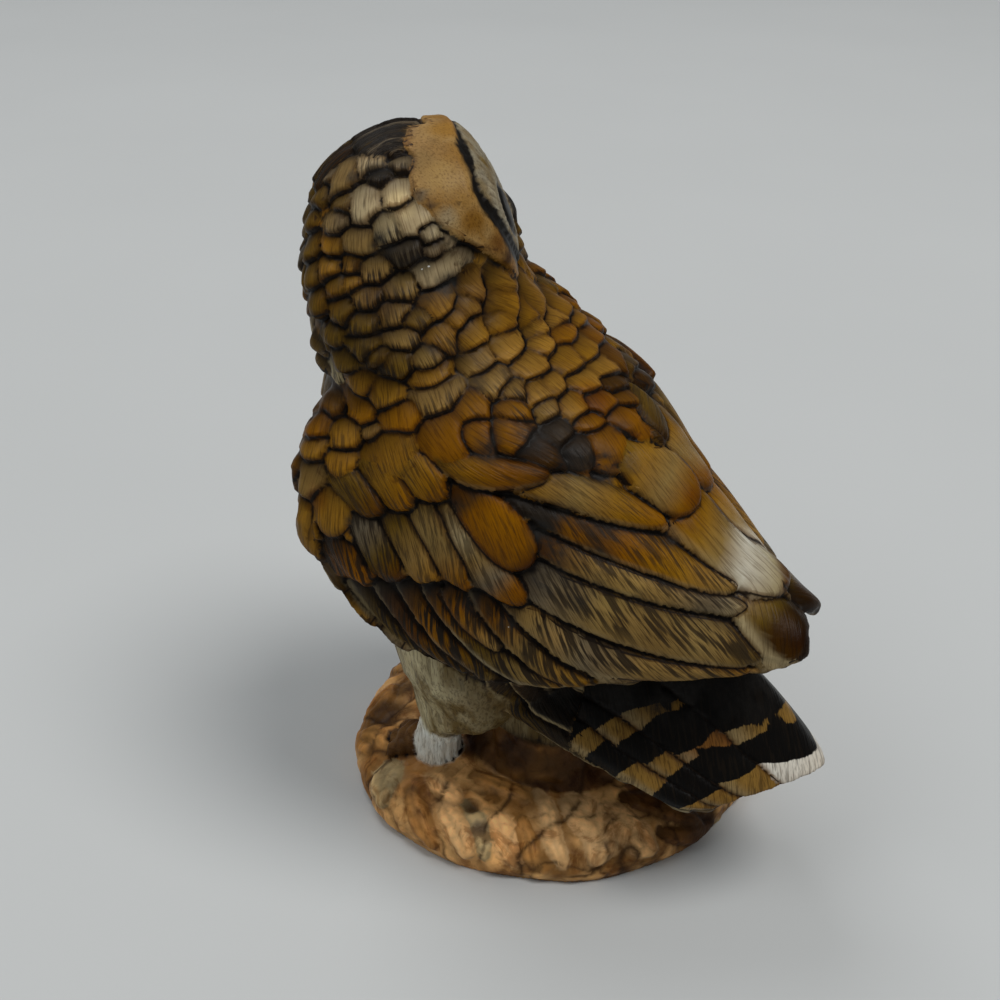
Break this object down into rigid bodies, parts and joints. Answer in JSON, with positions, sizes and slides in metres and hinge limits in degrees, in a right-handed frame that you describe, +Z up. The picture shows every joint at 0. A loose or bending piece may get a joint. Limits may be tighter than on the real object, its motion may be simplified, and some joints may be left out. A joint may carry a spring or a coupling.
{
  "type": "ceramic owl figurine",
  "caption": "Cast bisque owl standing on an oval rock foot, head turned back over its shoulder, wings folded over a drooping barred tail.",
  "frame": {"origin": "in the flat underside of the rock foot, below the middle plane of the owl's body", "axes": "+Z up; the owl's breast faces -Y and its tail points +Y; its left side is +X; the head looks back over the right shoulder"},
  "size_m": [0.089, 0.1114, 0.1425],
  "materials": {
    "painted_bisque": "satin hand-painted bisque, ochre and brown feathers with black antiquing in the grooves"
  },
  "bodies": {
    "root": {"owl_on_rock_casting": "painted_bisque"}
  },
  "joints": []
}
